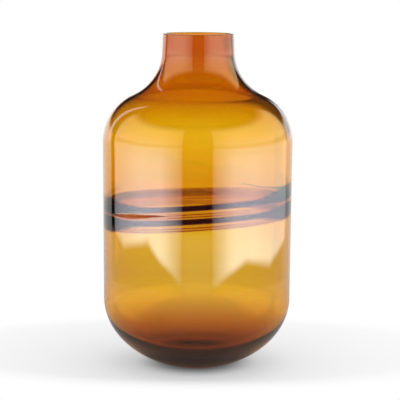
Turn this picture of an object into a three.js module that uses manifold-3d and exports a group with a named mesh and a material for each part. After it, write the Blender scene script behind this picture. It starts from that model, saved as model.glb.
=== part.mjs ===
// A blown amber glass vase with three dark glass trails wound round its belly.
// Millimetres, +Z up. The origin is on the floor, under the middle of the vase.
// The front of the vase faces -Y, and angles turn from the front towards +X.
import * as THREE from 'three';
import { mergeVertices } from 'three/addons/utils/BufferGeometryUtils.js';
import Module from 'manifold-3d';

const wasm = await Module();
wasm.setup();

// Outside of the vessel, from the foot up
const FOOT_RADIUS = 30;
const HEEL_HEIGHT = 73.5;
const HEEL_RADIUS = 101.4;
const SIDE_LENGTH = 170.6;
const SHOULDER_RADIUS = 102.5;
const SHOULDER_ARC = 54.5;
const FLARE_ARC = 52.1;
const NECK_RADIUS = 39;
const NECK_LENGTH = 18.4;
const MOUTH_RADIUS = 38;

// Thickness of the glass, the hollow ground under the base and the polished edges of the rim;
// the bowl is a little squarer inside than an ellipse, whose squareness is 2
const WALL = 3.5;
const BASE_THICKNESS = 9.5;
const BOWL_SQUARENESS = 2.18;
const FOOT_RING_WIDTH = 6;
const PUNT_DEPTH = 2;
const RIM_BEVEL = 0.6;

// Broad ribbon: its middle at the front of the lower turn, how much higher each turn runs on the right,
// and how far it sags, which it does a few times in each turn; it is drawn out thinner at the front
const RIBBON_HEIGHT = 171.9;
const RIBBON_TILT = 5;
const RIBBON_SAG = 2;
const SAGS_PER_TURN = 3;
const RIBBON_WIDTH = 7;
const RIBBON_FRONT_WIDTH = 5.2;
const RIBBON_DEPTH = 1.5;
const RIBBON_START = degrees(-270);
const RIBBON_END = degrees(510);
const RIBBON_HEAD_TAPER = degrees(45);

// Tail of the ribbon: it thins, sinks towards the turn below and ends in a short upward flick
const TAIL_LENGTH = degrees(80);
const TAIL_WIDTH = 1.2;
const TAIL_GAP = 2;
const FLICK_LENGTH = degrees(15);
const FLICK_RISE = 3;

// Two fine threads that follow the ribbon from below, and the clear glass beside them
const THREAD_WIDTH = 1.2;
const THREAD_DEPTH = 0.9;
const THREAD_START = degrees(-82.5);
const THREAD_END = degrees(420);
const THREAD_TAPER = degrees(30);
const THREAD_TIP_WIDTH = 0.6;
const RIBBON_TO_THREAD = 2.4;
const THREAD_GAP = 1.4;
const THREAD_TO_NEXT_TURN = 0.8;

// Room between a trail and the bed that it lies in
const CLEARANCE = 0.3;
const BED_OVERCUT = 2;

// Finish of the three kinds of glass
const GLASS_ROUGHNESS = 0.04;
const AMBER = '#c98418';
const NEAR_BLACK = '#24120f';
const RED_BROWN = '#6b2d0c';

// Fineness of the facets, and how close two points may lie before they are one
const SEGMENTS = 48;
const ARC_STEPS = 6;
const BOTTOM_STEPS = 8;
const PUNT_STEPS = 3;
const WELD = 0.001;

// Sizes that follow from these
const FULL_TURN = 2 * Math.PI;
const FACET = FULL_TURN / SEGMENTS;
const LEAST_STEP = FACET / 4;
const PUNT_RADIUS = FOOT_RADIUS - FOOT_RING_WIDTH;
const SHOULDER_HEIGHT = HEEL_HEIGHT + SIDE_LENGTH;
const CURVE_TURN = Math.acos(1 - (SHOULDER_RADIUS - NECK_RADIUS) / (SHOULDER_ARC + FLARE_ARC));
const NECK_HEIGHT = SHOULDER_HEIGHT + (SHOULDER_ARC + FLARE_ARC) * Math.sin(CURVE_TURN);
const HEIGHT = NECK_HEIGHT + NECK_LENGTH;
const THREAD_PITCH = THREAD_WIDTH + THREAD_GAP;
const FIRST_THREAD_DROP = RIBBON_WIDTH / 2 + RIBBON_TO_THREAD + THREAD_WIDTH / 2;
const TURN_RISE = RIBBON_WIDTH + RIBBON_TO_THREAD + THREAD_PITCH + THREAD_WIDTH + THREAD_TO_NEXT_TURN;
const TAIL_DROP = TURN_RISE - RIBBON_WIDTH / 2 - TAIL_GAP - TAIL_WIDTH / 2;

function degrees(angle) {
  return THREE.MathUtils.degToRad(angle);
}

// Points of a round stretch: place(t) for t from first to last, the first one left out
function stretch(first, last, steps, place) {
  const points = [];
  for (let i = 1; i <= steps; i++) {
    points.push(place(first + (last - first) * i / steps));
  }
  return points;
}

// Quarter of a curve that turns from the side down to the bottom: an ellipse, or squarer than one
const ELLIPSE = 2;
function bottomCurve(radius, depth, squareness) {
  const bend = (share) => Math.max(share, 0) ** (ELLIPSE / squareness);
  return (t) => new THREE.Vector2(radius * bend(Math.cos(t)), HEEL_HEIGHT - depth * bend(Math.sin(t)));
}

// Round shoulder and hollow flare, at a depth below the outer face of the glass
function shoulderCurve(depth) {
  const arc = SHOULDER_ARC - depth;
  const middle = SHOULDER_RADIUS - SHOULDER_ARC;
  return (t) => new THREE.Vector2(middle + arc * Math.cos(t), SHOULDER_HEIGHT + arc * Math.sin(t));
}

function flareCurve(depth) {
  const arc = FLARE_ARC + depth;
  const middle = NECK_RADIUS + FLARE_ARC;
  return (t) => new THREE.Vector2(middle - arc * Math.cos(t), NECK_HEIGHT - arc * Math.sin(t));
}

// Outer face from the foot ring up to the rim
function outerFace() {
  const bottomDepth = HEEL_HEIGHT / Math.sqrt(1 - (FOOT_RADIUS / HEEL_RADIUS) ** 2);
  const footTurn = Math.acos(FOOT_RADIUS / HEEL_RADIUS);
  return [
    new THREE.Vector2(FOOT_RADIUS, 0),
    ...stretch(footTurn, 0, BOTTOM_STEPS, bottomCurve(HEEL_RADIUS, bottomDepth, ELLIPSE)),
    shoulderCurve(0)(0),
    ...stretch(0, CURVE_TURN, ARC_STEPS, shoulderCurve(0)),
    ...stretch(CURVE_TURN, 0, ARC_STEPS, flareCurve(0)),
    new THREE.Vector2(MOUTH_RADIUS, HEIGHT - RIM_BEVEL),
  ];
}

// Cut rim with its two polished edges, then the inner face down to the middle of the floor
function innerFace() {
  const mouth = MOUTH_RADIUS - WALL;
  const bowl = bottomCurve(HEEL_RADIUS - WALL, HEEL_HEIGHT - BASE_THICKNESS, BOWL_SQUARENESS);
  return [
    new THREE.Vector2(MOUTH_RADIUS - RIM_BEVEL, HEIGHT),
    new THREE.Vector2(mouth + RIM_BEVEL, HEIGHT),
    new THREE.Vector2(mouth, HEIGHT - RIM_BEVEL),
    flareCurve(WALL)(0),
    ...stretch(0, CURVE_TURN, ARC_STEPS, flareCurve(WALL)),
    ...stretch(CURVE_TURN, 0, ARC_STEPS, shoulderCurve(WALL)),
    bowl(0),
    ...stretch(0, Math.PI / 2, BOTTOM_STEPS, bowl),
  ];
}

// Shallow polished hollow under the base, from the axis out to the foot ring
function puntFace() {
  const ball = (PUNT_RADIUS ** 2 + PUNT_DEPTH ** 2) / (2 * PUNT_DEPTH);
  const edge = Math.asin(PUNT_RADIUS / ball);
  const place = (t) => new THREE.Vector2(ball * Math.sin(t), ball * (Math.cos(t) - Math.cos(edge)));
  return [place(0), ...stretch(0, edge, PUNT_STEPS, place)];
}

// The whole section turned round the axis, which then stands up along +Z
function vesselGeometry() {
  const profile = [...puntFace(), ...outerFace(), ...innerFace()];
  return new THREE.LatheGeometry(profile, SEGMENTS).rotateX(Math.PI / 2);
}

// Radius of the faceted outer face at a height
const outer = outerFace();
function surfaceRadius(height) {
  const next = outer.findIndex((point) => point.y > height);
  const low = outer[next - 1];
  const high = outer[next];
  return THREE.MathUtils.mapLinear(height, low.y, high.y, low.x, high.x);
}

// A radius taken at the corners of the facets, as it is at any angle between them
function facetRadius(angle, radius) {
  const offCorner = THREE.MathUtils.euclideanModulo(angle, FACET) - FACET / 2;
  return radius * Math.cos(FACET / 2) / Math.cos(offCorner);
}

function pointAt(angle, radius, height) {
  const r = facetRadius(angle, radius);
  return new THREE.Vector3(r * Math.sin(angle), -r * Math.cos(angle), height);
}

// Height of the winding's middle line
function windingHeight(angle) {
  const lean = RIBBON_TILT * Math.sin(angle);
  const sag = RIBBON_SAG * Math.sin(angle * SAGS_PER_TURN / 2) ** 2;
  return RIBBON_HEIGHT + TURN_RISE * angle / FULL_TURN + lean - sag;
}

const ribbon = {
  start: RIBBON_START,
  end: RIBBON_END,
  depth: RIBBON_DEPTH,
  height(angle) {
    const sink = THREE.MathUtils.smoothstep(angle, RIBBON_END - TAIL_LENGTH, RIBBON_END - FLICK_LENGTH);
    const flick = THREE.MathUtils.smoothstep(angle, RIBBON_END - FLICK_LENGTH, RIBBON_END);
    return windingHeight(angle) - TAIL_DROP * sink + FLICK_RISE * flick;
  },
  width(angle) {
    const head = THREE.MathUtils.smoothstep(angle, RIBBON_START, RIBBON_START + RIBBON_HEAD_TAPER);
    const tail = THREE.MathUtils.smoothstep(RIBBON_END - angle, FLICK_LENGTH, TAIL_LENGTH);
    const spread = Math.min(1 - Math.cos(angle), 1);
    const full = THREE.MathUtils.lerp(RIBBON_FRONT_WIDTH, RIBBON_WIDTH, spread);
    return THREE.MathUtils.lerp(TAIL_WIDTH, full, Math.min(head, tail));
  },
};

function thread(drop) {
  return {
    start: THREAD_START,
    end: THREAD_END,
    depth: THREAD_DEPTH,
    height: (angle) => windingHeight(angle) - drop,
    width(angle) {
      const head = THREE.MathUtils.smoothstep(angle, THREAD_START, THREAD_START + THREAD_TAPER);
      const tail = THREE.MathUtils.smoothstep(THREAD_END - angle, 0, THREAD_TAPER);
      return THREE.MathUtils.lerp(THREAD_TIP_WIDTH, THREAD_WIDTH, Math.min(head, tail));
    },
  };
}

// Angles along a trail: both ends, and every corner of the facets well between them
function stations(first, last) {
  const angles = [first];
  for (let corner = Math.ceil(first / FACET); corner * FACET < last; corner++) {
    const angle = corner * FACET;
    if (angle - first > LEAST_STEP && last - angle > LEAST_STEP) {
      angles.push(angle);
    }
  }
  angles.push(last);
  return angles;
}

// Four corners of a trail's section: outside low and high, then inside high and low
function section(trail, angle, room, rise) {
  const half = trail.width(angle) / 2 + room;
  const depth = trail.depth + room;
  const low = trail.height(angle) - half;
  const high = trail.height(angle) + half;
  return [
    pointAt(angle, surfaceRadius(low) + rise, low),
    pointAt(angle, surfaceRadius(high) + rise, high),
    pointAt(angle, surfaceRadius(high) - depth, high),
    pointAt(angle, surfaceRadius(low) - depth, low),
  ];
}

// One unbroken band along a trail, with room added all round it and its outer face raised
function trailSections(trail, room, rise) {
  const spread = room / SHOULDER_RADIUS;
  return stations(trail.start - spread, trail.end + spread)
    .map((angle) => section(trail, angle, room, rise));
}

function bandGeometry(sections) {
  const indices = [];
  const corners = 4;
  for (let i = 0; i + 1 < sections.length; i++) {
    for (let k = 0; k < corners; k++) {
      const a = i * corners + k;
      const b = i * corners + (k + 1) % corners;
      indices.push(a, a + corners, b, b, a + corners, b + corners);
    }
  }
  const last = (sections.length - 1) * corners;
  indices.push(0, 1, 2, 0, 2, 3);
  indices.push(last, last + 2, last + 1, last, last + 3, last + 2);
  const geometry = new THREE.BufferGeometry().setFromPoints(sections.flat());
  geometry.setIndex(indices);
  return geometry;
}

// Least distance between two turns of a trail, measured on the corners of its sections
function leastGap(trail) {
  const sections = trailSections(trail, 0, 0);
  const apart = Math.floor(SEGMENTS / 2);
  let least = Infinity;
  for (let i = 0; i < sections.length; i++) {
    for (let j = i + apart; j < sections.length; j++) {
      for (const p of sections[i]) {
        for (const q of sections[j]) {
          least = Math.min(least, p.distanceTo(q));
        }
      }
    }
  }
  return least;
}

// Closed geometry as a solid that can be cut, without the empty triangles on its axis
function toSolid(geometry) {
  const bare = geometry.clone();
  bare.deleteAttribute('normal');
  bare.deleteAttribute('uv');
  const merged = mergeVertices(bare, WELD);
  const index = merged.index.array;
  const triangles = [];
  for (let i = 0; i < index.length; i += 3) {
    const [a, b, c] = [index[i], index[i + 1], index[i + 2]];
    if (a !== b && b !== c && c !== a) {
      triangles.push(a, b, c);
    }
  }
  const vertProperties = new Float32Array(merged.attributes.position.array);
  const triVerts = new Uint32Array(triangles);
  return new wasm.Manifold(new wasm.Mesh({ numProp: 3, vertProperties, triVerts }));
}

function toGeometry(solid) {
  const mesh = solid.getMesh();
  const geometry = new THREE.BufferGeometry();
  geometry.setAttribute('position', new THREE.BufferAttribute(new Float32Array(mesh.vertProperties), 3));
  geometry.setIndex(new THREE.BufferAttribute(new Uint32Array(mesh.triVerts), 1));
  geometry.computeVertexNormals();
  return geometry;
}

function glass(color) {
  return new THREE.MeshStandardMaterial({ color, roughness: GLASS_ROUGHNESS, metalness: 0 });
}

function addPiece(group, name, geometry, material) {
  const mesh = new THREE.Mesh(geometry, material);
  mesh.name = name;
  group.add(mesh);
}

const trails = {
  dark_ribbon: { ...ribbon, color: NEAR_BLACK },
  upper_thread: { ...thread(FIRST_THREAD_DROP), color: RED_BROWN },
  lower_thread: { ...thread(FIRST_THREAD_DROP + THREAD_PITCH), color: RED_BROWN },
};

const vase = new THREE.Group();
let vessel = toSolid(vesselGeometry());
for (const [name, trail] of Object.entries(trails)) {
  const bed = toSolid(bandGeometry(trailSections(trail, CLEARANCE, BED_OVERCUT)));
  vessel = vessel.subtract(bed);
  addPiece(vase, name, bandGeometry(trailSections(trail, 0, 0)), glass(trail.color));
  console.log(`${name}: least gap between its turns ${leastGap(trail).toFixed(2)} mm`);
}
addPiece(vase, 'vase_body', toGeometry(vessel), glass(AMBER));
console.log(`vase: ${HEIGHT.toFixed(1)} mm high, ${(2 * SHOULDER_RADIUS).toFixed(1)} mm across`);

export default vase;
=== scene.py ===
# %% [markdown]
# # A blown glass vase with wound trails
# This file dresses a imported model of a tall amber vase. The real one is blown by hand: a bubble of
# amber glass, a broad trail of nearly black glass wound round it a little over two times, and two
# fine brown threads that run below that trail. All of it is fused into one wall.
#
# Each step says what the piece is on the real vase, how it could be made in Blender, and why this
# file makes it the way it does. Lengths are metres and angles are radians. The vase stands on the
# floor at the origin, +Z is up, and its front looks along -Y.

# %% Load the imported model
import math

import bpy
from mathutils import Matrix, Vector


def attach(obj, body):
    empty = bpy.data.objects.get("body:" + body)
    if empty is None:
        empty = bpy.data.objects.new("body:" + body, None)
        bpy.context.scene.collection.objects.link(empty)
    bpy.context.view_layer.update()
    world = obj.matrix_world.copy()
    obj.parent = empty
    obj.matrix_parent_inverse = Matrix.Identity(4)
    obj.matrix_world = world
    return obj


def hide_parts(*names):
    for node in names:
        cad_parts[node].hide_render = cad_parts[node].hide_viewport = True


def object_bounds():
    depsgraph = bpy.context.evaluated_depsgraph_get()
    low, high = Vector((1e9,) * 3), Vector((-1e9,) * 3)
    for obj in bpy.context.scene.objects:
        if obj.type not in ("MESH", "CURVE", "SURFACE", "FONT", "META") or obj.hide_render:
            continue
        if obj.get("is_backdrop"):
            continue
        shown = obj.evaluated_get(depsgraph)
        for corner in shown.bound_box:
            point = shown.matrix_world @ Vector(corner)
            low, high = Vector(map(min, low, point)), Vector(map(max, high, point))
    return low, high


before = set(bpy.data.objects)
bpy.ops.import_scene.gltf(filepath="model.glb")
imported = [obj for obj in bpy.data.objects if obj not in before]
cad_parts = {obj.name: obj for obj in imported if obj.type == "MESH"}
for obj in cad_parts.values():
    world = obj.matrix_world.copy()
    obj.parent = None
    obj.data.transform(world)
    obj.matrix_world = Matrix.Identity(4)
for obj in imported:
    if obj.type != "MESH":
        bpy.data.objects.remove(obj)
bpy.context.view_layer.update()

bpy.ops.object.select_all(action="DESELECT")
print("packed nodes:", sorted(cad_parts))

# %% [markdown]
# ## Sizes
# A blown vessel is described best by its section, the outline of one half of it cut through the
# middle. These are the section's sizes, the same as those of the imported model, so that every new
# piece lands where the model says. The curves between shoulder and neck are two arcs that meet
# without a kink, and how far they turn follows from the two radii they join.

# %% Sizes of the vessel
MM = 0.001
FULL_TURN = 2 * math.pi
FOOT_RADIUS = 30 * MM
HEEL_HEIGHT = 73.5 * MM
HEEL_RADIUS = 101.4 * MM
SIDE_LENGTH = 170.6 * MM
SHOULDER_RADIUS = 102.5 * MM
SHOULDER_ARC = 54.5 * MM
FLARE_ARC = 52.1 * MM
NECK_RADIUS = 39 * MM
NECK_LENGTH = 18.4 * MM
MOUTH_RADIUS = 38 * MM
WALL = 3.5 * MM
BASE_THICKNESS = 9.5 * MM
BOWL_SQUARENESS = 2.18
FOOT_RING_WIDTH = 6 * MM
PUNT_DEPTH = 2 * MM
RIM_BEVEL = 0.6 * MM

PUNT_RADIUS = FOOT_RADIUS - FOOT_RING_WIDTH
PUNT_BALL = (PUNT_RADIUS ** 2 + PUNT_DEPTH ** 2) / (2 * PUNT_DEPTH)
SHOULDER_HEIGHT = HEEL_HEIGHT + SIDE_LENGTH
CURVE_TURN = math.acos(1 - (SHOULDER_RADIUS - NECK_RADIUS) / (SHOULDER_ARC + FLARE_ARC))
NECK_HEIGHT = SHOULDER_HEIGHT + (SHOULDER_ARC + FLARE_ARC) * math.sin(CURVE_TURN)
HEIGHT = NECK_HEIGHT + NECK_LENGTH
print("vase height:", round(HEIGHT, 4))

# %% [markdown]
# ## The section of the bubble
# A glassblower never draws a section, but a lathe-like shape is quickest to model from one. It runs
# from the middle of the hollow under the base, over the ground foot ring, up the outside to the
# rim, and down the inside to the middle of the floor. Both ends lie on the axis, so the spun shape
# is closed, with a real wall. Glass needs that: light bends at the outer face and again at the
# inner one, and the colour comes from the thickness that it crosses.

# %% Work out the section
CURVE_STEPS = 30
BOTTOM_STEPS = 44
SIDE_STEPS = 24
NECK_STEPS = 8
PUNT_STEPS = 10


def arc_points(centre, size, start, end, steps, squareness=2):
    """Points on an arc, an ellipse or a squarer curve in the section, without the first one."""
    points = []
    for step in range(1, steps + 1):
        angle = start + (end - start) * step / steps
        round_shares = (math.cos(angle), math.sin(angle))
        shares = [math.copysign(abs(share) ** (2 / squareness), share) for share in round_shares]
        points.append(tuple(c + reach * share for c, reach, share in zip(centre, size, shares)))
    return points


def line_points(start, end, steps):
    """Points on a straight line in the section, without the first one."""
    return [tuple(a + (b - a) * step / steps for a, b in zip(start, end)) for step in range(1, steps + 1)]


def side_and_neck(inset):
    """The side, shoulder, flare and neck, from the heel to the mouth, set in by a wall."""
    heel = (HEEL_RADIUS - inset, HEEL_HEIGHT)
    top = (SHOULDER_RADIUS - inset, SHOULDER_HEIGHT)
    shoulder = (SHOULDER_RADIUS - SHOULDER_ARC, SHOULDER_HEIGHT)
    flare = (NECK_RADIUS + FLARE_ARC, NECK_HEIGHT)
    points = [heel] + line_points(heel, top, SIDE_STEPS)
    points += arc_points(shoulder, (SHOULDER_ARC - inset,) * 2, 0, CURVE_TURN, CURVE_STEPS)
    points += arc_points(flare, (FLARE_ARC + inset,) * 2, math.pi + CURVE_TURN, math.pi, CURVE_STEPS)
    return points + line_points(points[-1], (MOUTH_RADIUS - inset, HEIGHT), NECK_STEPS)


bottom_depth = HEEL_HEIGHT / math.sqrt(1 - (FOOT_RADIUS / HEEL_RADIUS) ** 2)
foot_angle = math.acos(FOOT_RADIUS / HEEL_RADIUS)
punt_angle = math.asin(PUNT_RADIUS / PUNT_BALL)
punt_centre = (0, PUNT_DEPTH - PUNT_BALL)
section = [(0.0, PUNT_DEPTH)]
section += arc_points(punt_centre, (PUNT_BALL,) * 2, math.pi / 2, math.pi / 2 - punt_angle, PUNT_STEPS)
section += [(FOOT_RADIUS, 0.0)]
section += arc_points((0, HEEL_HEIGHT), (HEEL_RADIUS, bottom_depth), -foot_angle, 0, BOTTOM_STEPS)
section += side_and_neck(0)[1:]
section += side_and_neck(WALL)[::-1]
bowl = (HEEL_RADIUS - WALL, HEEL_HEIGHT - BASE_THICKNESS)
section += arc_points((0, HEEL_HEIGHT), bowl, 0, -math.pi / 2, BOTTOM_STEPS, BOWL_SQUARENESS)
section[-1] = (0.0, BASE_THICKNESS)
print("section points:", len(section))

# %% [markdown]
# ## Spin the vessel
# By hand this is one vertex, extruded point by point along the section, and then the Spin tool.
# Spin leaves doubled vertices where the ends meet and on the axis, so they are merged, and the
# normals are then recalculated to point out of the glass. The rim of the real vase was cut flat and
# fire-polished, and the foot was ground flat, so both pairs of edges get a small bevel.

# %% Make the vessel
SPIN_STEPS = 192
FOOT_BEVEL = 0.4 * MM
BEVEL_SEGMENTS = 3
NEAR = 0.00001


def select_rings(piece, height):
    """Selects, in edit mode, the edges that run round the vessel at one height."""
    bpy.ops.mesh.select_mode(type="EDGE")
    bpy.ops.mesh.select_all(action="DESELECT")
    bpy.ops.object.mode_set(mode="OBJECT")
    for edge in piece.data.edges:
        a, b = (piece.data.vertices[index].co for index in edge.vertices)
        level = max(abs(a.z - height), abs(b.z - height)) < NEAR
        edge.select = level and abs(a.xy.length - b.xy.length) < NEAR
    bpy.ops.object.mode_set(mode="EDIT")


bpy.ops.mesh.primitive_plane_add(size=WALL, location=(section[0][0], 0, section[0][1]))
vase = bpy.context.object
vase.name = vase.data.name = "blown_vase"
bpy.ops.object.transform_apply(location=True, rotation=True, scale=True)
bpy.ops.object.mode_set(mode="EDIT")
bpy.ops.mesh.merge(type="CENTER")
for here, there in zip(section, section[1:]):
    step = (there[0] - here[0], 0, there[1] - here[1])
    bpy.ops.mesh.extrude_region_move(TRANSFORM_OT_translate={"value": step})
bpy.ops.mesh.select_all(action="SELECT")
bpy.ops.mesh.spin(steps=SPIN_STEPS, angle=FULL_TURN, center=(0, 0, 0), axis=(0, 0, 1))
bpy.ops.mesh.select_all(action="SELECT")
bpy.ops.mesh.remove_doubles(threshold=NEAR)
select_rings(vase, HEIGHT)
bpy.ops.mesh.bevel(offset=RIM_BEVEL, segments=BEVEL_SEGMENTS)
select_rings(vase, 0)
bpy.ops.mesh.bevel(offset=FOOT_BEVEL, segments=BEVEL_SEGMENTS)
bpy.ops.mesh.select_all(action="SELECT")
bpy.ops.mesh.normals_make_consistent(inside=False)
bpy.ops.object.mode_set(mode="OBJECT")
bpy.ops.object.shade_smooth()
print("vessel faces:", len(vase.data.polygons))

# %% [markdown]
# ## The line of the winding
# While the bubble turns on the iron, the trail of dark glass is led slowly along it, so it winds as
# a screw. The bubble was not quite square to the trail, so the winding also leans to one side and
# sags a little, three times in a turn. An angle of 0 is the front of the lower turn, angles grow
# towards +X, and a whole turn later the same trail passes the front again, higher by the rise of
# one turn.

# %% Work out the winding
RIBBON_HEIGHT = 171.9 * MM
RIBBON_TILT = 5 * MM
RIBBON_SAG = 2 * MM
SAGS_PER_TURN = 3
TURN_RISE = 14 * MM


def eased(value, start, end):
    """Runs smoothly from 0 at start to 1 at end."""
    share = min(max((value - start) / (end - start), 0), 1)
    return share * share * (3 - 2 * share)


def mixed(a, b, share):
    return a + (b - a) * share


def winding_height(turned):
    """Height of the middle of the winding, for an angle along it."""
    lean = RIBBON_TILT * math.sin(turned)
    sag = RIBBON_SAG * math.sin(turned * SAGS_PER_TURN / 2) ** 2
    return RIBBON_HEIGHT + TURN_RISE * turned / FULL_TURN + lean - sag


def side_radius(height):
    """Radius of the outside of the straight side."""
    return mixed(HEEL_RADIUS, SHOULDER_RADIUS, (height - HEEL_HEIGHT) / SIDE_LENGTH)


print("front of the two turns:", round(winding_height(0), 4), round(winding_height(FULL_TURN), 4))

# %% [markdown]
# ## How a trail is wound
# A trail starts as a round string of soft glass and is rolled flat into the wall, so its section is
# a thin lens. The Screw modifier does what the turning iron does: it winds one lens into a plain
# screw. The rings of that screw are then eased, one by one, to the lean and sag of the winding and
# to their own width and depth, because a trail is thick where it is laid and thin where it is drawn
# out. A trail lies just under the outer face, inside the wall, as fused glass does.

# %% Wind a lens into a trail
LENS_POINTS = 20
RING_STEP = math.radians(2.5)
COVER = 0.1 * MM


def wind_trail(name, start, end, height, width, depth):
    """Winds a lens round the side; height, width and depth are functions of the angle."""
    rings = round((end - start) / RING_STEP)
    bpy.ops.object.select_all(action="DESELECT")
    bpy.ops.mesh.primitive_circle_add(vertices=LENS_POINTS, radius=1, rotation=(math.pi / 2, 0, 0))
    trail = bpy.context.object
    trail.name = trail.data.name = name
    bpy.ops.object.transform_apply(location=True, rotation=True, scale=True)
    screw = trail.modifiers.new("winding", "SCREW")
    screw.angle = end - start
    screw.screw_offset = TURN_RISE * (end - start) / FULL_TURN
    screw.steps = screw.render_steps = rings
    bpy.ops.object.modifier_apply(modifier=screw.name)
    corners = [FULL_TURN * k / LENS_POINTS for k in range(LENS_POINTS)]
    lens = [(math.cos(corner), math.sin(corner)) for corner in corners]
    for index, vertex in enumerate(trail.data.vertices):
        turned = start + (end - start) * (index // LENS_POINTS) / rings
        out, up = lens[index % LENS_POINTS]
        level = height(turned)
        sunk = COVER + depth(turned) * (1 - out) / 2
        reach = side_radius(level) - sunk
        vertex.co = (reach * math.sin(turned), -reach * math.cos(turned), level + up * width(turned) / 2)
    bpy.ops.object.mode_set(mode="EDIT")
    bpy.ops.mesh.select_mode(type="EDGE")
    bpy.ops.mesh.select_all(action="DESELECT")
    bpy.ops.mesh.select_non_manifold()
    bpy.ops.mesh.fill_holes(sides=0)
    bpy.ops.mesh.select_all(action="SELECT")
    bpy.ops.mesh.normals_make_consistent(inside=False)
    bpy.ops.object.mode_set(mode="OBJECT")
    bpy.ops.object.shade_smooth()
    print(name, "rings:", rings + 1, "faces:", len(trail.data.polygons))
    return trail


# %% [markdown]
# ## The dark ribbon
# The broad trail begins thin at the back, is thickest across the front and the sides, and is drawn
# out at the back into a veil that lets the light through. Its tail drops behind the upper turn and
# ends in a small upward flick, where the string was pulled off. Width and depth are two separate
# functions of the angle, because a trail that is rolled out gets wider and thinner at once.

# %% Make the ribbon
RIBBON_START = math.radians(-270)
RIBBON_END = math.radians(510)
RIBBON_HEAD = math.radians(45)
TAIL_LENGTH = math.radians(80)
FLICK_LENGTH = math.radians(15)
TAIL_DROP = 7.9 * MM
FLICK_RISE = 3 * MM
TAIL_WIDTH = 1.2 * MM
RIBBON_FRONT_WIDTH = 6 * MM
RIBBON_SIDE_WIDTH = 9.4 * MM
RIBBON_DEPTH = 1.5 * MM
VEIL_DEPTH = 0.4 * MM
RIGHT_VEIL_DEPTH = 0.12 * MM
RIGHT_VEIL_ENDS = 0.75 * math.pi
FIRST_VEIL_DEPTH = 0.05 * MM
VEIL_DROP = 1.6 * MM
VEIL_STARTS = 0.52
VEIL_FULL = 0.95


def ribbon_height(turned):
    drop = TAIL_DROP * eased(turned, RIBBON_END - TAIL_LENGTH, RIBBON_END - FLICK_LENGTH)
    drop += VEIL_DROP * ((1 - math.cos(turned)) / 2) ** 2
    return winding_height(turned) - drop + FLICK_RISE * eased(turned, RIBBON_END - FLICK_LENGTH, RIBBON_END)


def ribbon_full(turned):
    """1 along the ribbon, and 0 at its two drawn-out ends."""
    head = eased(turned, RIBBON_START, RIBBON_START + RIBBON_HEAD)
    tail = 1 - eased(turned, RIBBON_END - TAIL_LENGTH, RIBBON_END - FLICK_LENGTH)
    return min(head, tail)


def ribbon_width(turned):
    spread = min(1 - math.cos(turned), 1)
    return mixed(TAIL_WIDTH, mixed(RIBBON_FRONT_WIDTH, RIBBON_SIDE_WIDTH, spread), ribbon_full(turned))


def ribbon_depth(turned):
    behind = (1 - math.cos(turned)) / 2
    veil = mixed(RIGHT_VEIL_DEPTH, VEIL_DEPTH, eased(turned, RIGHT_VEIL_ENDS, math.pi))
    if turned < 0:
        veil = FIRST_VEIL_DEPTH
    return mixed(RIBBON_DEPTH, veil, eased(behind, VEIL_STARTS, VEIL_FULL))


ribbon = wind_trail("dark_trail", RIBBON_START, RIBBON_END, ribbon_height, ribbon_width, ribbon_depth)

# %% [markdown]
# ## The two fine threads
# Two strings, hardly thicker than a pencil lead, run side by side under the ribbon. They begin at
# the left of the lower turn and end past the front of the upper one. On the upper turn the first
# thread carries a bead, a long stretch that was pressed wider and thinner, so it lets more light
# through and shows orange. The same winding function makes both, with a width and a depth of their own.

# %% Make the threads
THREAD_START = math.radians(-82.5)
THREAD_END = math.radians(420)
THREAD_TAPER = math.radians(30)
THREAD_WIDTH = 1.2 * MM
THREAD_TIP_WIDTH = 0.6 * MM
THREAD_DEPTH = 0.9 * MM
UPPER_THREAD_DROP = 6.5 * MM
LOWER_THREAD_DROP = 9.1 * MM
BEAD_START = math.radians(297)
BEAD_END = math.radians(341)
BEAD_WIDTH = 2.2 * MM
BEAD_DEPTH = 0.42 * MM


def thread_width(turned):
    tip = min(turned - THREAD_START, THREAD_END - turned) / THREAD_TAPER
    return mixed(THREAD_TIP_WIDTH, THREAD_WIDTH, eased(tip, 0, 1))


def thread_depth(turned):
    return THREAD_DEPTH * thread_width(turned) / THREAD_WIDTH


def bead_share(turned):
    """1 in the middle of the bead, and 0 from its ends on."""
    along = (turned - BEAD_START) / (BEAD_END - BEAD_START)
    return math.sin(math.pi * min(max(along, 0), 1))


def beaded_width(turned):
    return thread_width(turned) + BEAD_WIDTH * bead_share(turned)


def beaded_depth(turned):
    return mixed(thread_depth(turned), BEAD_DEPTH, bead_share(turned))


def upper_thread_height(turned):
    return winding_height(turned) - UPPER_THREAD_DROP


def lower_thread_height(turned):
    return winding_height(turned) - LOWER_THREAD_DROP


upper_string = wind_trail("upper_string", THREAD_START, THREAD_END,
                          upper_thread_height, beaded_width, beaded_depth)
lower_string = wind_trail("lower_string", THREAD_START, THREAD_END,
                          lower_thread_height, thread_width, thread_depth)

# %% [markdown]
# ## Helpers for materials
# Colours are written as sRGB hex values, as a colour picker shows them, and shaders work in linear
# light, so one function turns one into the other. A second small function adds a node, sets it up
# and links it. Inputs come as a list, in the order of the node's sockets, or by name or number. A
# third ends a glass: all light passes its smooth face and is soaked up along the way.

# %% Colour, node and glass helpers
CLEAR = "#FFFFFF"
SOFT = {"interpolation_type": "SMOOTHSTEP"}
COLOURS = {"data_type": "RGBA"}


def linear(hex_colour):
    """An sRGB hex colour as linear red, green, blue and alpha."""
    channels = [int(hex_colour[i:i + 2], 16) / 255 for i in (1, 3, 5)]
    return (*[c / 12.92 if c <= 0.04045 else ((c + 0.055) / 1.055) ** 2.4 for c in channels], 1.0)


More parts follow.
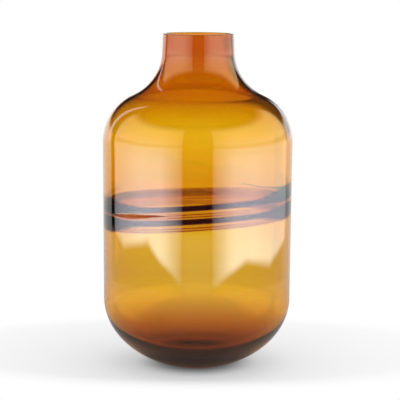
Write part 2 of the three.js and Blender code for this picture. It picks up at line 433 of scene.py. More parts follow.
def add_node(tree, kind, inputs=(), **settings):
    """Adds a node; an input is a value, a socket, or a node whose first output it takes."""
    made = tree.nodes.new("ShaderNode" + kind)
    for name, value in settings.items():
        setattr(made, name, value)
    for socket, value in (inputs.items() if isinstance(inputs, dict) else enumerate(inputs)):
        if isinstance(value, bpy.types.Node):
            value = value.outputs[0]
        if isinstance(value, bpy.types.NodeSocket):
            tree.links.new(value, made.inputs[socket])
        else:
            made.inputs[socket].default_value = value
    return made


def new_material(name):
    """A material with an empty node tree and its output."""
    material = bpy.data.materials.new(name)
    material.use_nodes = True
    material.node_tree.nodes.clear()
    return material, material.node_tree, add_node(material.node_tree, "OutputMaterial")


def finish_glass(tree, output, inputs, absorption, density):
    """Ends a material as smooth glass that soaks up light along the way."""
    glass = add_node(tree, "BsdfPrincipled", {**inputs, "Roughness": 0, "Transmission Weight": 1})
    absorb = add_node(tree, "VolumeAbsorption", {"Color": linear(absorption), "Density": density})
    tree.links.new(glass.outputs[0], output.inputs["Surface"])
    tree.links.new(absorb.outputs[0], output.inputs["Volume"])


print("white in linear light:", linear(CLEAR))

# %% [markdown]
# ## Amber glass
# The vase is soda-lime glass coloured amber in the melt, blown and fire-polished, so its faces are
# as smooth as liquid and it has no grain. What the eye reads is the depth of its colour: pale honey
# through one wall, brown where light runs a long way inside the base or the wall. A Volume
# Absorption node gives that. The rest is colour and form that hand work leaves behind, and it needs
# to know where a point lies: how far round, how high, and how far above the line of the winding.

# %% Amber glass: where a point lies
amber, tree, output = new_material("amber soda-lime glass, blown and fire-polished")
place = add_node(tree, "TexCoord").outputs["Object"]
x, y, z = add_node(tree, "SeparateXYZ", [place]).outputs
towards_front = add_node(tree, "Math", [y, -1], operation="MULTIPLY")
turned = add_node(tree, "Math", [x, towards_front], operation="ARCTAN2")
sideways = add_node(tree, "Math", [turned], operation="ABSOLUTE")
side = add_node(tree, "Math", [turned], operation="SINE")
rise = add_node(tree, "Math", [turned, TURN_RISE / FULL_TURN, RIBBON_HEIGHT], operation="MULTIPLY_ADD")
leaning = add_node(tree, "Math", [side, RIBBON_TILT, rise], operation="MULTIPLY_ADD")
sag_angle = add_node(tree, "Math", [turned, SAGS_PER_TURN / 2], operation="MULTIPLY")
sag_wave = add_node(tree, "Math", [sag_angle], operation="SINE")
sag = add_node(tree, "Math", [sag_wave, sag_wave], operation="MULTIPLY")
line = add_node(tree, "Math", [sag, -RIBBON_SAG, leaning], operation="MULTIPLY_ADD")
off_line = add_node(tree, "Math", [z, line], operation="SUBTRACT")
print("nodes that place a point:", len(tree.nodes))

# %% [markdown]
# ## Tints by height
# The neck is deeper and redder, because the colour gathers where the glass is drawn in, and a
# narrow collar on the shoulder is a little deeper too. The heel is browner, partly from its thick
# glass and partly as painted shade, for the shadowed paper seen through the base. Painted vertices
# would do, but a Map Range node on the height keeps each place as a plain number. It gives a share
# from 0 to 1, and further down the tint is mixed in by that share.

# %% Amber glass: neck, collar and heel
NECK_TINT = "#E5AC80"
NECK_TINT_GROWS = (243 * MM, 345 * MM)
HEEL_SHADE_TINT = "#D6A48C"
HEEL_SHADE_GROWS = (76 * MM, 22 * MM)
COLLAR_TINT = "#FFE4C4"
COLLAR_LOW = 290 * MM
COLLAR_TOP = 302 * MM
COLLAR_EDGE = 2 * MM

neck = add_node(tree, "MapRange", [z, *NECK_TINT_GROWS], **SOFT)
# Painted shade: the heel is darkened for the shadowed paper seen through the thick base, on top of the
# deeper colour of its thick glass.
heel = add_node(tree, "MapRange", [z, *HEEL_SHADE_GROWS], **SOFT)
over_bend = add_node(tree, "MapRange", [z, COLLAR_LOW - COLLAR_EDGE, COLLAR_LOW + COLLAR_EDGE])
under_bend = add_node(tree, "MapRange", [z, COLLAR_TOP + COLLAR_EDGE, COLLAR_TOP - COLLAR_EDGE])
collar = add_node(tree, "Math", [over_bend, under_bend], operation="MULTIPLY")
print("nodes with the tints by height:", len(tree.nodes))

# %% [markdown]
# ## The wash in the band
# Between the dark trails a brown film of drawn-out glass washes the front of the band, with fine
# streaks along it, and a strip of it shows low at the back. From there upwards the back wall is a
# little deeper in colour. A second thin mesh could carry the film, but it would add two more faces
# for light to cross. Painted by the distance from the winding, the film follows the trails for free.

# %% Amber glass: the wash
BACK_TINT = "#F4D15C"
BACK_TINT_GROWS = (250 * MM, 185 * MM)
BACK_STARTS = math.radians(75)
BACK_FULL = math.radians(110)
BACK_LOW = 160 * MM
BACK_EDGE = 2 * MM
VEIL_LOW = 177 * MM
WASH_TINT = "#D8AF98"
WASH_EDGE = 1.5 * MM
WASH_BELOW = -10.2 * MM
WASH_ABOVE = TURN_RISE + 1.5 * MM
WASH_SIDE_FULL = math.radians(62)
WASH_SIDE_ENDS = math.radians(100)
STREAK_WIDTH = 0.9 * MM
STREAK_LENGTH = 90 * MM
STREAK_NOISE = (0.35, 0.65)
STREAK_SHARES = (0.55, 1.0)

over_wash = add_node(tree, "MapRange", [off_line, WASH_BELOW - WASH_EDGE, WASH_BELOW + WASH_EDGE], **SOFT)
under_wash = add_node(tree, "MapRange", [off_line, WASH_ABOVE + WASH_EDGE, WASH_ABOVE - WASH_EDGE], **SOFT)
in_front = add_node(tree, "MapRange", [sideways, WASH_SIDE_ENDS, WASH_SIDE_FULL], **SOFT)
band = add_node(tree, "Math", [over_wash, under_wash], operation="MULTIPLY")
wash_front = add_node(tree, "Math", [band, in_front], operation="MULTIPLY")
behind = add_node(tree, "MapRange", [sideways, BACK_STARTS, BACK_FULL], **SOFT)
over_back = add_node(tree, "MapRange", [z, BACK_LOW - BACK_EDGE, BACK_LOW + BACK_EDGE], **SOFT)
under_veil = add_node(tree, "MapRange", [z, VEIL_LOW + BACK_EDGE, VEIL_LOW - BACK_EDGE], **SOFT)
back_fade = add_node(tree, "MapRange", [z, *BACK_TINT_GROWS])
back_wall = add_node(tree, "Math", [over_back, behind], operation="MULTIPLY")
back = add_node(tree, "Math", [back_wall, back_fade], operation="MULTIPLY")
wash_back = add_node(tree, "Math", [back_wall, under_veil], operation="MULTIPLY")
wash_all = add_node(tree, "Math", [wash_front, wash_back], operation="MAXIMUM")
leaned = add_node(tree, "Math", [side, -RIBBON_TILT, z], operation="MULTIPLY_ADD")
streak_place = add_node(tree, "CombineXYZ", [x, y, leaned])
streak_size = (1 / STREAK_LENGTH, 1 / STREAK_LENGTH, 1 / STREAK_WIDTH)
streak_grain = add_node(tree, "Mapping", {0: streak_place, "Scale": streak_size})
streak_noise = add_node(tree, "TexNoise", {0: streak_grain, "Scale": 1, "Detail": 2})
streaks = add_node(tree, "MapRange", [streak_noise, *STREAK_NOISE, *STREAK_SHARES])
wash = add_node(tree, "Math", [wash_all, streaks], operation="MULTIPLY")
print("nodes with the wash:", len(tree.nodes))

# %% [markdown]
# ## Smoke at the sides
# At both sides the dark glass of the two turns has smeared out into smoke. It begins at nothing near
# the front, widens towards the sides and ends at the back. Inside the band it stays close to the
# trails, and above and below it reaches twice as far, so half of the way outward is taken off the
# distance before it is compared with the reach.

# %% Amber glass: smoke
SMOKE_TINT = "#442C28"
SMOKE_FROM = math.radians(25)
SMOKE_FULL = math.radians(62)
SMOKE_ENDS = math.radians(125)
SMOKE_REACH = 5.6 * MM
SMOKE_EDGE = 1.2 * MM
SMOKE_OUTWARD = 0.5

above_band = add_node(tree, "Math", [off_line, TURN_RISE], operation="SUBTRACT")
below_band = add_node(tree, "Math", [off_line, -1], operation="MULTIPLY")
from_upper = add_node(tree, "Math", [above_band], operation="ABSOLUTE")
from_lower = add_node(tree, "Math", [below_band], operation="ABSOLUTE")
from_turn = add_node(tree, "Math", [from_upper, from_lower], operation="MINIMUM")
outside = add_node(tree, "Math", [above_band, below_band], operation="MAXIMUM")
outward = add_node(tree, "Math", [outside, 0], operation="MAXIMUM")
thinned = add_node(tree, "Math", [outward, -SMOKE_OUTWARD, from_turn], operation="MULTIPLY_ADD")
reach = add_node(tree, "MapRange", [sideways, SMOKE_FROM, SMOKE_FULL, -SMOKE_EDGE, SMOKE_REACH])
past_reach = add_node(tree, "Math", [thinned, reach], operation="SUBTRACT")
smoky = add_node(tree, "MapRange", [past_reach, SMOKE_EDGE, -SMOKE_EDGE], **SOFT)
smoke_side = add_node(tree, "MapRange", [sideways, SMOKE_ENDS, SMOKE_FULL], **SOFT)
smoke = add_node(tree, "Math", [smoky, smoke_side], operation="MULTIPLY")
print("nodes with the smoke:", len(tree.nodes))

# %% [markdown]
# ## Mix the tints
# Each tint is multiplied into the last, as light loses colour at each layer of glass. The base
# colour of a glass tints only the light that passes through, so the reflections stay white.

# %% Amber glass: the mixed tint
TINTS = [
    (neck, NECK_TINT),
    (collar, COLLAR_TINT),
    (heel, HEEL_SHADE_TINT),
    (back, BACK_TINT),
    (wash, WASH_TINT),
    (smoke, SMOKE_TINT),
]
colour = linear(CLEAR)
for share, tint in TINTS:
    mix = add_node(tree, "Mix", {0: share, 6: colour, 7: linear(tint)}, **COLOURS, blend_type="MULTIPLY")
    colour = mix.outputs[2]
print("tints mixed:", len(TINTS))

# %% [markdown]
# ## The surface of the amber
# Hand-blown glass has very shallow waves, which only show in what the surface mirrors. Where the upper
# thread carries its bead, the face leans out by 0.3 mm from its lower to its upper edge. That is
# enough to turn the mirrored softbox away, so the bead shows its own deep orange. A Bump node tilts
# the face without more mesh. The glass itself lets all light through.

# %% Amber glass: surface and glass
GLASS_IOR = 1.52
AMBER_ABSORPTION = "#FBEE2C"
AMBER_DENSITY = 780
WAVE_LENGTH = 45 * MM
WAVE_HEIGHT = 0.06 * MM
SWELL_HEIGHT = 0.3 * MM
SWELL_REACH = 2.0 * MM
SWELL_EDGE = 0.15

wave_noise = add_node(tree, "TexNoise", {0: place, "Scale": 1 / WAVE_LENGTH, "Detail": 0})
swell_ends = (BEAD_START - FULL_TURN, BEAD_END - FULL_TURN)
swell_along = add_node(tree, "MapRange", [turned, *swell_ends, -1, 1])
swell_middle = add_node(tree, "Math", [off_line, TURN_RISE - UPPER_THREAD_DROP], operation="SUBTRACT")
swell_across = add_node(tree, "Math", [swell_middle, 1 / SWELL_REACH], operation="MULTIPLY")
swell_half = add_node(tree, "Math", [swell_along, swell_along], operation="MULTIPLY")
swell_tall = add_node(tree, "Math", [1, swell_half], operation="SUBTRACT")
swell_from = add_node(tree, "Math", [swell_tall, -1], operation="MULTIPLY")
swell_over = add_node(tree, "MapRange", [swell_across, swell_from, swell_tall, 0, SWELL_HEIGHT])
swell_past = add_node(tree, "Math", [swell_across, swell_tall], operation="SUBTRACT")
swell_in = add_node(tree, "MapRange", [swell_past, SWELL_EDGE, 0], **SOFT)
swell = add_node(tree, "Math", [swell_over, swell_in], operation="MULTIPLY")
height = add_node(tree, "Math", [wave_noise, WAVE_HEIGHT, swell], operation="MULTIPLY_ADD")
bump = add_node(tree, "Bump", {"Height": height, "Distance": 1, "Strength": 1})
amber_inputs = {"Base Color": colour, "Normal": bump, "IOR": GLASS_IOR}
finish_glass(tree, output, amber_inputs, AMBER_ABSORPTION, AMBER_DENSITY)
vase.data.materials.append(amber)
print(amber.name, "nodes:", len(tree.nodes))

# %% [markdown]
# ## Dark and brown trail glass
# The trails are the same kind of glass with far more colour in it. They are fused into the wall, so
# light passes from one glass to the other without bending, and their relative IOR is 1. All of
# their look is absorption: black where a trail is thick, brown at its thin edges and where it is
# drawn out to a veil. Fine streaks along the trail, as in pulled sugar, vary the colour.

# %% Trail glass
FUSED_IOR = 1.0
TRAIL_STREAK = 1.6 * MM
TRAIL_DRAWN_OUT = (0.12, 0.12, 1)
TRAIL_STREAK_NOISE = (0.4, 0.7)
TRAIL_FINISHES = {
    "dark_trail_glass": ("nearly black trail glass, fused in", "#BF693B", 4600, "#E4CFC2"),
    "brown_thread_glass": ("red-brown thread glass, fused in", "#EAB02C", 4100, "#F0D8C4"),
}


def trail_material(name, absorption, density, streak_tint):
    material, tree, output = new_material(name)
    place = add_node(tree, "TexCoord").outputs["Object"]
    drawn_out = add_node(tree, "Mapping", {0: place, "Scale": TRAIL_DRAWN_OUT})
    noise = add_node(tree, "TexNoise", {0: drawn_out, "Scale": 1 / TRAIL_STREAK, "Detail": 2})
    share = add_node(tree, "MapRange", [noise, *TRAIL_STREAK_NOISE])
    tint = add_node(tree, "Mix", {0: share, 6: linear(CLEAR), 7: linear(streak_tint)}, **COLOURS)
    finish_glass(tree, output, {"Base Color": tint.outputs[2], "IOR": FUSED_IOR}, absorption, density)
    return material


trail_glass = {slot: trail_material(*finish) for slot, finish in TRAIL_FINISHES.items()}
ribbon.data.materials.append(trail_glass["dark_trail_glass"])
upper_string.data.materials.append(trail_glass["brown_thread_glass"])
lower_string.data.materials.append(trail_glass["brown_thread_glass"])
print("trail materials:", [material.name for material in trail_glass.values()])

# %% [markdown]
# ## Join the pieces to the imported model
# Nothing on a vase moves, so every piece rides on the one body. Each stands for its own node of the
# imported model, which stays hidden and keeps its work in the simulation.

# %% Ride and replace
PIECES = [
    (vase, "vase_body", "amber_glass"),
    (ribbon, "dark_ribbon", "dark_trail_glass"),
    (upper_string, "upper_thread", "brown_thread_glass"),
    (lower_string, "lower_thread", "brown_thread_glass"),
]
for piece, node, slot in PIECES:
    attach(piece, "root")
    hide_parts(node)
    print(piece.name, "stands for", node)

# %% [markdown]
# ## Camera
# The picture was taken from a little above the rim, from far away with a long lens, so that the two
# sides look almost parallel. The place and pitch were fitted to the outline of the vase.

# %% Place the camera
CAMERA_PLACE = (2.9 * MM, -1.740, 0.430)
CAMERA_PITCH = math.radians(8.18)
CAMERA_ROLL = math.radians(0.39)
FOCAL_PIXELS = 1618.5
IMAGE_PIXELS = 400
SENSOR = 36

bpy.ops.object.camera_add()
camera = bpy.context.object
camera.name = "camera"
camera.data.sensor_width = SENSOR
camera.data.lens = FOCAL_PIXELS * SENSOR / IMAGE_PIXELS
stand = Matrix.Translation(CAMERA_PLACE)
pitch = Matrix.Rotation(math.pi / 2 - CAMERA_PITCH, 4, "X")
roll = Matrix.Rotation(CAMERA_ROLL, 4, "Z")
camera.matrix_world = stand @ pitch @ roll
bpy.context.scene.camera = camera
print("lens:", round(camera.data.lens, 2), "mm")

# %% [markdown]
# ## Floor
# A sheet of white paper carries the vase and its soft shadow. It is a disc rather than an endless
# plane, because the side of the vase mirrors what lies low beside it, and an endless floor would
# hide the lamps there.

# %% Make the floor
FLOOR_RADIUS = 0.55
FLOOR_CORNERS = 128

bpy.ops.object.select_all(action="DESELECT")
bpy.ops.mesh.primitive_circle_add(vertices=FLOOR_CORNERS, radius=FLOOR_RADIUS, fill_type="NGON")
floor = bpy.context.object
floor.name = "floor"
paper, tree, output = new_material("matt white paper")
floor.data.materials.append(paper)
floor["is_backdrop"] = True
print("floor radius:", FLOOR_RADIUS)

# %% [markdown]
# ## Paper as the camera sees it
# Matt paper has no gloss, so the eye reads only its shade. It is dark right under the foot, lighter
# beside it, and past the oval of the shadow it is the white of the background. A lit sheet alone
# would end in a grey edge. So a share of plain white is laid over the lit sheet: little under the
# foot, some beside it, and all of it past the shadow. Near the foot that white is painted light,
# for the light that the amber glass lets through onto the paper, and it lightens the shadow there.

# %% Paper: the shadow
FOOT_SHADE = (30 * MM, 72 * MM)
FOOT_PAINTED_LIGHT = (0.08, 0.45)
SHADOW_CENTRE = 60 * MM
SHADOW_STRETCH = 1.9
SHADOW_FADES = (0.10, 0.19)

place = add_node(tree, "TexCoord").outputs["Object"]
away = add_node(tree, "VectorMath", [place], operation="LENGTH").outputs["Value"]
# Painted light: near the foot, white is laid over the shadow for the light that passes through the glass.
let_through = add_node(tree, "MapRange", [away, *FOOT_SHADE, *FOOT_PAINTED_LIGHT], **SOFT)
oval_size = {"Location": (0, -SHADOW_CENTRE, 0), "Scale": (1 / SHADOW_STRETCH, 1, 1)}
oval = add_node(tree, "Mapping", {0: place, **oval_size})
oval_away = add_node(tree, "VectorMath", [oval], operation="LENGTH").outputs["Value"]
shadow_end = add_node(tree, "MapRange", [oval_away, *SHADOW_FADES], **SOFT)
seen_white = add_node(tree, "Math", [let_through, shadow_end], operation="MAXIMUM")
print("nodes of the shadow:", len(tree.nodes))

# %% [markdown]
# ## Paper as the glass sees it
# Light that has crossed the vase falls on the paper as an amber glow, and the round base mirrors it
# as a ring. Through the glass, the paper glows near the foot and to both sides, is dark right under
# the foot ring, and is white far off. Tracing that light would be slow and grainy, so the paper
# gives it off by itself, to the rays of the glass alone. A Light Path node tells them apart. A ray
# that went through glass counts as glossy too, so a mirrored ray is glossy less transmitted.

# %% Paper: the glow
FAR_PAPER_FROM = 0.30
FOOT_GLOW = 0.65
FOOT_GLOW_GROWS = (90 * MM, 40 * MM)
FOOT_DARK = 0.3
FOOT_DARK_ENDS = (34 * MM, 46 * MM)
SIDE_GLOW = 0.6
SIDE_GLOW_GROWS = (15 * MM, 70 * MM)
SIDE_GLOW_NEAR = (0.25, 0.15)
AMBER_GLOW_SHARE = 0.6
RING_LEAST = 0.14
RING_INNER = (60 * MM, 80 * MM)
RING_OUTER = (120 * MM, 88 * MM)

far_white = add_node(tree, "MapRange", [away, FAR_PAPER_FROM, FLOOR_RADIUS], **SOFT)
foot_white = add_node(tree, "MapRange", [away, *FOOT_GLOW_GROWS, 0, FOOT_GLOW], **SOFT)
across = add_node(tree, "SeparateXYZ", [place]).outputs[0]
off_middle = add_node(tree, "Math", [across], operation="ABSOLUTE")
side_wide = add_node(tree, "MapRange", [off_middle, *SIDE_GLOW_GROWS, 0, SIDE_GLOW])
side_near = add_node(tree, "MapRange", [away, *SIDE_GLOW_NEAR], **SOFT)
side_white = add_node(tree, "Math", [side_wide, side_near], operation="MULTIPLY")
foot_dark = add_node(tree, "MapRange", [away, *FOOT_DARK_ENDS, FOOT_DARK])
near_foot = add_node(tree, "Math", [foot_white, side_white], operation="MAXIMUM")
through_white = add_node(tree, "Math", [near_foot, foot_dark], operation="MULTIPLY")
ring_inner = add_node(tree, "MapRange", [away, *RING_INNER, RING_LEAST, AMBER_GLOW_SHARE])
ring_outer = add_node(tree, "MapRange", [away, *RING_OUTER])
ring = add_node(tree, "Math", [ring_inner, ring_outer], operation="MULTIPLY")
path = add_node(tree, "LightPath").outputs
mirror_rays = [path["Is Glossy Ray"], path["Is Transmission Ray"]]
only_mirrored = add_node(tree, "Math", mirror_rays, operation="SUBTRACT", use_clamp=True)
near_white = add_node(tree, "Mix", {0: only_mirrored, 2: through_white, 3: ring})
glass_white = add_node(tree, "Math", [far_white, near_white], operation="MAXIMUM")
print("nodes with the glow:", len(tree.nodes))

# %% [markdown]
# ## Finish the paper
# The lit sheet and the white that it gives off meet in one Mix Shader. The share between them is one
# thing for the camera and another for the glass. In the mirror of the base, the sheet is a darker,
# warmer grey: painted shade for the vase's shadow on the paper, warmed by painted amber light. The
# glow near the foot is amber.

# %% Paper: sheet and white
PAPER = "#F3F3F3"
SHADED_MIRRORED_PAPER = "#CCBEB6"
AMBER_GLOW = "#FFC8A5"
AMBER_GLOW_FADES = (0.2, 0.13)
FAR_PAPER = 0.77

amber_share = add_node(tree, "MapRange", [away, *AMBER_GLOW_FADES, 0, only_mirrored])
glow_mix = {0: amber_share, 6: linear(CLEAR), 7: linear(AMBER_GLOW)}
glow_colour = add_node(tree, "Mix", glow_mix, **COLOURS).outputs[2]
# Painted shade: in the mirror the paper is a darker, warmer grey than the camera sees.
paper_mix = {0: only_mirrored, 6: linear(PAPER), 7: linear(SHADED_MIRRORED_PAPER)}
paper_colour = add_node(tree, "Mix", paper_mix, **COLOURS).outputs[2]
seen = path["Is Camera Ray"]
white_share = add_node(tree, "Mix", {0: seen, 2: glass_white, 3: seen_white})
white_level = add_node(tree, "Mix", {0: seen, 2: FAR_PAPER, 3: 1.0})
matt = {"Base Color": paper_colour, "Roughness": 1, "Specular IOR Level": 0}
sheet = add_node(tree, "BsdfPrincipled", matt)
white = add_node(tree, "Emission", {"Color": glow_colour, "Strength": white_level})
surface = add_node(tree, "MixShader", [white_share, sheet, white])
tree.links.new(surface.outputs[0], output.inputs["Surface"])
print(paper.name, "nodes:", len(tree.nodes))

# %% [markdown]
# ## Directions in the studio
# Clear glass shows only its surroundings, so the studio is most of the picture. Lamps and screens
# could be planes that give off light, or one panorama image. Here they are painted in the world by
# direction, because each edge is then a plain number and nothing stands in the way of the camera.
# Azimuth is 0 towards the camera and grows towards +X, and level is the angle above the horizon.

# %% Find the direction
DEGREE = math.radians(1)

world = bpy.data.worlds.new("studio")
bpy.context.scene.world = world
world.use_nodes = True
tree = world.node_tree
tree.nodes.clear()
towards = add_node(tree, "TexCoord").outputs["Generated"]
x, y, z = add_node(tree, "SeparateXYZ", [towards]).outputs
to_camera = add_node(tree, "Math", [y, -1], operation="MULTIPLY")
azimuth = add_node(tree, "Math", [x, to_camera], operation="ARCTAN2")
out = add_node(tree, "Math", [azimuth], operation="ABSOLUTE")
level = add_node(tree, "Math", [z], operation="ARCSINE")
print("nodes of the direction:", len(tree.nodes))

# %% [markdown]
# ## The outline of two softboxes
# Two tall softboxes stand left and right of the camera and give the broad pale reflections. Their
# lower edges rise away from the camera, and the vase mirrors them as the pale wedges below the
# band. Each edge is a narrow ramp, since a softbox close by has no sharp edge in round glass.

# %% Outline the softboxes
LAMP_EDGE = 1.5 * DEGREE
LEFT_TO_RIGHT = (-DEGREE, DEGREE)
SOFTBOX_INNER = 18 * DEGREE
SOFTBOX_LEFT_END = 119.6 * DEGREE
SOFTBOX_RIGHT_END = 137 * DEGREE
SOFTBOX_LOW_INNER = -12.0 * DEGREE
SOFTBOX_LOW_LEFT = -10.3 * DEGREE
SOFTBOX_LOW_RIGHT = -10.9 * DEGREE
SOFTBOX_LOW_RISES = (20 * DEGREE, 62 * DEGREE)
SOFTBOX_LOW_EDGE = 0.25 * DEGREE
SOFTBOX_LIFT_FROM = 100 * DEGREE
SOFTBOX_END_LIFT = 1.1 * DEGREE
SOFTBOX_TOP = 47 * DEGREE
SOFTBOX_FULL = 32 * DEGREE

inner = add_node(tree, "MapRange", [out, SOFTBOX_INNER - LAMP_EDGE, SOFTBOX_INNER + LAMP_EDGE], **SOFT)
end = add_node(tree, "MapRange", [azimuth, *LEFT_TO_RIGHT, SOFTBOX_LEFT_END, SOFTBOX_RIGHT_END])
past_end = add_node(tree, "Math", [out, end], operation="SUBTRACT")
before_end = add_node(tree, "MapRange", [past_end, LAMP_EDGE, -LAMP_EDGE], **SOFT)
beside = add_node(tree, "Math", [inner, before_end], operation="MULTIPLY")
low_outer = add_node(tree, "MapRange", [azimuth, *LEFT_TO_RIGHT, SOFTBOX_LOW_LEFT, SOFTBOX_LOW_RIGHT])
low_edge = add_node(tree, "MapRange", [out, *SOFTBOX_LOW_RISES, SOFTBOX_LOW_INNER, low_outer])
end_lift = add_node(tree, "MapRange", [out, SOFTBOX_LIFT_FROM, SOFTBOX_RIGHT_END, 0, SOFTBOX_END_LIFT])
low_all = add_node(tree, "Math", [low_edge, end_lift], operation="ADD")
over_edge = add_node(tree, "Math", [level, low_all], operation="SUBTRACT")
above_low = add_node(tree, "MapRange", [over_edge, -SOFTBOX_LOW_EDGE, SOFTBOX_LOW_EDGE], **SOFT)
below_top = add_node(tree, "MapRange", [level, SOFTBOX_TOP, SOFTBOX_FULL], **SOFT)
panel = add_node(tree, "Math", [beside, below_top], operation="MULTIPLY")
print("nodes with the outline:", len(tree.nodes))

# %% [markdown]
# ## The light of the softboxes
# A softbox is brightest in its middle and these are brighter towards the floor, with a dim seam
# across. Seen through the glass they are held back below the horizon, where the back wall would
# show them a second time, and left brighter above it, where only the bowl and the shoulder reach.

# %% Light the softboxes
SOFTBOX_LIGHT = 1.4
UPPER_GLOW = 2.6
UPPER_GLOW_GROWS = (60 * DEGREE, -5 * DEGREE)
MIDDLE_GLOW = 1.3
MIDDLE_GLOW_GROWS = (10 * DEGREE, -6.5 * DEGREE)
LOWER_GLOW = 5.5
LOWER_GLOW_GROWS = (-6.5 * DEGREE, -11 * DEGREE)
HOT_RISES = (SOFTBOX_INNER, 46 * DEGREE)
HOT_FALLS_FROM = 72 * DEGREE
HOT_LEAST = 0.05
SEAM = 2.5 * DEGREE
SEAM_FADES = (1.2 * DEGREE, 5 * DEGREE)
SEAM_LIGHT = 0.64
HIGH_FROM = (-6 * DEGREE, 2 * DEGREE)
MOST_THROUGH_GLASS = 1.2
HIGH_THROUGH_GLASS = 2.5
LOW_THROUGH_GLASS = -9.95 * DEGREE
LOW_THROUGH_EDGE = 0.4 * DEGREE

upper = add_node(tree, "MapRange", [level, *UPPER_GLOW_GROWS, 0, UPPER_GLOW])
middle = add_node(tree, "MapRange", [level, *MIDDLE_GLOW_GROWS, 0, MIDDLE_GLOW])
lower = add_node(tree, "MapRange", [level, *LOWER_GLOW_GROWS, 0, LOWER_GLOW])
upper_two = add_node(tree, "Math", [upper, middle], operation="ADD")
glow = add_node(tree, "Math", [upper_two, lower], operation="ADD")
hot_rise = add_node(tree, "MapRange", [out, *HOT_RISES])
hot_fall = add_node(tree, "MapRange", [out, end, HOT_FALLS_FROM, HOT_LEAST])
hot = add_node(tree, "Math", [hot_rise, hot_fall], operation="MINIMUM")
shine = add_node(tree, "Math", [glow, hot, SOFTBOX_LIGHT], operation="MULTIPLY_ADD")
from_seam = add_node(tree, "Math", [level, SEAM], operation="SUBTRACT")
seam_away = add_node(tree, "Math", [from_seam], operation="ABSOLUTE")
seam = add_node(tree, "MapRange", [seam_away, *SEAM_FADES, SEAM_LIGHT])
seamed = add_node(tree, "Math", [shine, seam], operation="MULTIPLY")
tall_softbox = add_node(tree, "Math", [seamed, panel], operation="MULTIPLY")
softbox = add_node(tree, "Math", [tall_softbox, above_low], operation="MULTIPLY")
most_through = add_node(tree, "MapRange", [level, *HIGH_FROM, MOST_THROUGH_GLASS, HIGH_THROUGH_GLASS])
dimmed = add_node(tree, "Math", [tall_softbox, most_through], operation="MINIMUM")
through_edge = (LOW_THROUGH_GLASS - LOW_THROUGH_EDGE, LOW_THROUGH_GLASS + LOW_THROUGH_EDGE)
above_through = add_node(tree, "MapRange", [level, *through_edge], **SOFT)
softbox_through = add_node(tree, "Math", [dimmed, above_through], operation="MULTIPLY")
print("nodes with the softboxes:", len(tree.nodes))

# %% [markdown]
# ## Backdrop, table and room
# Behind the vase is a low white backdrop. Above it lies the dark of the room, which draws the dark
# edge of the shoulder. Between the softboxes the vase mirrors the dim room behind the camera, and
# below that the white table, so the middle of the vase keeps its deep colour. Through the glass, the
# front is brighter than in the mirror. Without that, the vase would look dull from behind.

# %% Backdrop, table and room
BACKDROP_SIDE = 128 * DEGREE
BACKDROP_LEFT_TOP = 6.5 * DEGREE
BACKDROP_RIGHT_TOP = -2 * DEGREE
BACKDROP_TOP_FALLS = (-0.05, 0.15)
BACKDROP_TOP_EDGE = 3 * DEGREE
BACKDROP_MIRRORED = 1.3
BACKDROP_LOW = 0.77
BACKDROP_DIMS = (-7 * DEGREE, -11 * DEGREE)
BACKDROP_MIRROR_DIMS = (-2 * DEGREE, -10.5 * DEGREE)
ROOM = 0.03
FRONT_ROOM = 0.08
FRONT_THROUGH_GLASS = 0.9
FRONT_HIGH = 1.5
TABLE = 0.75
TABLE_TOP = -10.15 * DEGREE
TABLE_EDGE = 0.3 * DEGREE
GROUND = 0.6
GROUND_THROUGH_GLASS = 0.7

behind = add_node(tree, "MapRange", [out, BACKDROP_SIDE - LAMP_EDGE, BACKDROP_SIDE + LAMP_EDGE], **SOFT)
backdrop_top = add_node(tree, "MapRange", [x, *BACKDROP_TOP_FALLS, BACKDROP_LEFT_TOP, BACKDROP_RIGHT_TOP])
over_top = add_node(tree, "Math", [level, backdrop_top], operation="SUBTRACT")
low_behind = add_node(tree, "MapRange", [over_top, BACKDROP_TOP_EDGE, -BACKDROP_TOP_EDGE], **SOFT)
backdrop = add_node(tree, "Math", [behind, low_behind], operation="MULTIPLY")
backdrop_level = add_node(tree, "MapRange", [level, *BACKDROP_DIMS, 1.0, BACKDROP_LOW])
backdrop_through = add_node(tree, "Math", [backdrop, backdrop_level], operation="MULTIPLY")
wall_level = add_node(tree, "MapRange", [level, *BACKDROP_MIRROR_DIMS, BACKDROP_MIRRORED, BACKDROP_LOW])
wall = add_node(tree, "Math", [backdrop, wall_level], operation="MULTIPLY")

table_edge = (TABLE_TOP + TABLE_EDGE, TABLE_TOP - TABLE_EDGE)
table = add_node(tree, "MapRange", [level, *table_edge, FRONT_ROOM, FRONT_ROOM + TABLE], **SOFT)
ahead = add_node(tree, "Math", [1, inner], operation="SUBTRACT")
front_tall = add_node(tree, "Math", [ahead, below_top], operation="MULTIPLY")
front = add_node(tree, "Math", [table, front_tall, ROOM], operation="MULTIPLY_ADD")
under = add_node(tree, "MapRange", [above_low, 0, 1, GROUND, 0])
room = add_node(tree, "Math", [under, front], operation="MAXIMUM")
under_through = add_node(tree, "MapRange", [above_through, 0, 1, GROUND_THROUGH_GLASS, 0])
front_level = add_node(tree, "MapRange", [level, *HIGH_FROM, FRONT_THROUGH_GLASS, FRONT_HIGH])
front_through = add_node(tree, "Math", [front_tall, front_level, ROOM], operation="MULTIPLY_ADD")
room_through = add_node(tree, "Math", [under_through, front_through], operation="MAXIMUM")
print("nodes with the room:", len(tree.nodes))

# %% [markdown]
# ## Two strips
# A narrow strip of light behind the left of the vase draws the fine white line on the neck and
# shoulder, and a low broad one behind the right gives the shoulder its pale rim. They are painted
# like the softboxes, in one loop, because they differ only in numbers.

# %% Add the strips
STRIP_SIDE_EDGE = DEGREE
STRIP_END_EDGE = 2 * DEGREE
LEFT_STRIP = (-135 * DEGREE, 3 * DEGREE, -4 * DEGREE, 48 * DEGREE, 1.8)
RIGHT_STRIP = (153 * DEGREE, 15 * DEGREE, -5 * DEGREE, 11 * DEGREE, 1.5)

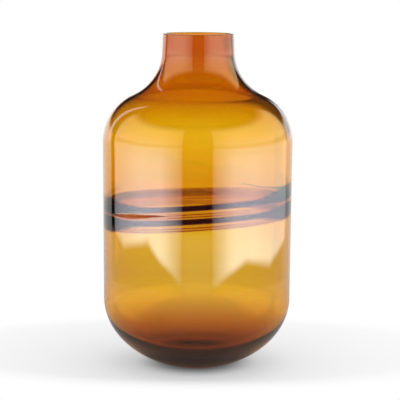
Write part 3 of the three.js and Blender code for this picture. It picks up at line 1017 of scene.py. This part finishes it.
wall_and_strips = wall
for centre, half, low, top, light in (LEFT_STRIP, RIGHT_STRIP):
    from_strip = add_node(tree, "Math", [azimuth, centre], operation="SUBTRACT")
    strip_away = add_node(tree, "Math", [from_strip], operation="ABSOLUTE")
    strip_sides = (half + STRIP_SIDE_EDGE, half - STRIP_SIDE_EDGE)
    strip_wide = add_node(tree, "MapRange", [strip_away, *strip_sides, 0, light])
    strip_high = add_node(tree, "MapRange", [level, top + STRIP_END_EDGE, top - STRIP_END_EDGE])
    strip_low = add_node(tree, "MapRange", [level, low - STRIP_END_EDGE, low + STRIP_END_EDGE])
    strip_tall = add_node(tree, "Math", [strip_high, strip_low], operation="MULTIPLY")
    strip = add_node(tree, "Math", [strip_wide, strip_tall], operation="MULTIPLY")
    wall_and_strips = add_node(tree, "Math", [wall_and_strips, strip], operation="MAXIMUM")
print("nodes with the strips:", len(tree.nodes))

# %% [markdown]
# ## Who sees what
# Mirrored rays see the lamps at full strength, and rays through the glass see the version held back.
# The paper is lit by an even soft sky, brighter from above and a little from the right, and the
# camera sees plain white. The mirrored softboxes are cool low down and warm higher up, with a
# touch of lavender at the level that the dark ribbons mirror, where they look grey-violet.

# %% Put the studio together
SKY = 1.08
SKY_FROM_ABOVE = 0.7
SKY_FROM_RIGHT = 0.2
SOFTBOX_WARM = "#FFFFC8"
SOFTBOX_COOL = "#F0FFF9"
SOFTBOX_LAVENDER = "#F3F1FC"
LAVENDER_LEVEL = -9.1 * DEGREE
LAVENDER_FADES = (DEGREE, 0.6 * DEGREE)
WARMTH_GROWS = (-6.5 * DEGREE, 24 * DEGREE)

lamps = add_node(tree, "Math", [softbox, wall_and_strips], operation="MAXIMUM")
mirrored = add_node(tree, "Math", [lamps, room], operation="MAXIMUM")
lamps_through = add_node(tree, "Math", [backdrop_through, softbox_through], operation="ADD")
refracted = add_node(tree, "Math", [lamps_through, room_through], operation="MAXIMUM")
sky_even = SKY * (1 - SKY_FROM_ABOVE * 2 / 3)
sky_up = add_node(tree, "Math", [z, SKY * SKY_FROM_ABOVE, sky_even], operation="MULTIPLY_ADD")
sky = add_node(tree, "Math", [x, SKY * SKY_FROM_RIGHT, sky_up], operation="MULTIPLY_ADD")
path = add_node(tree, "LightPath").outputs
for_mirror = add_node(tree, "Mix", {0: path["Is Glossy Ray"], 2: sky, 3: mirrored})
for_glass = add_node(tree, "Mix", {0: path["Is Transmission Ray"], 2: for_mirror, 3: refracted})
for_camera = add_node(tree, "Mix", {0: path["Is Camera Ray"], 2: for_glass, 3: 1.0})

mirror_rays = [path["Is Glossy Ray"], path["Is Transmission Ray"]]
only_mirrored = add_node(tree, "Math", mirror_rays, operation="SUBTRACT", use_clamp=True)
from_lavender = add_node(tree, "Math", [level, LAVENDER_LEVEL], operation="SUBTRACT")
lavender_away = add_node(tree, "Math", [from_lavender], operation="ABSOLUTE")
lavender = add_node(tree, "MapRange", [lavender_away, *LAVENDER_FADES])
low_mix = {0: lavender, 6: linear(SOFTBOX_COOL), 7: linear(SOFTBOX_LAVENDER)}
low_colour = add_node(tree, "Mix", low_mix, **COLOURS).outputs[2]
warmth = add_node(tree, "MapRange", [level, *WARMTH_GROWS])
lamp_mix = {0: warmth, 6: low_colour, 7: linear(SOFTBOX_WARM)}
lamp_colour = add_node(tree, "Mix", lamp_mix, **COLOURS).outputs[2]
lamp_share = add_node(tree, "Math", [only_mirrored, beside], operation="MULTIPLY")
light_mix = {0: lamp_share, 6: linear(CLEAR), 7: lamp_colour}
light_colour = add_node(tree, "Mix", light_mix, **COLOURS).outputs[2]
background = add_node(tree, "Background", {"Color": light_colour, "Strength": for_camera})
add_node(tree, "OutputWorld", {"Surface": background})
print("studio nodes:", len(tree.nodes))

# %% [markdown]
# ## View and finish
# Standard view shows colours as they are written. Light that a glass wall focuses on the floor would
# be slow and grainy to trace, and the picture shows a plain grey shadow, so caustics are off.

# %% Set the view and print the size
scene = bpy.context.scene
scene.view_settings.view_transform = "Standard"
scene.cycles.caustics_refractive = False
scene.cycles.caustics_reflective = False
low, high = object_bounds()
print("visual box:", [round(v, 4) for v in (*low, *high)])
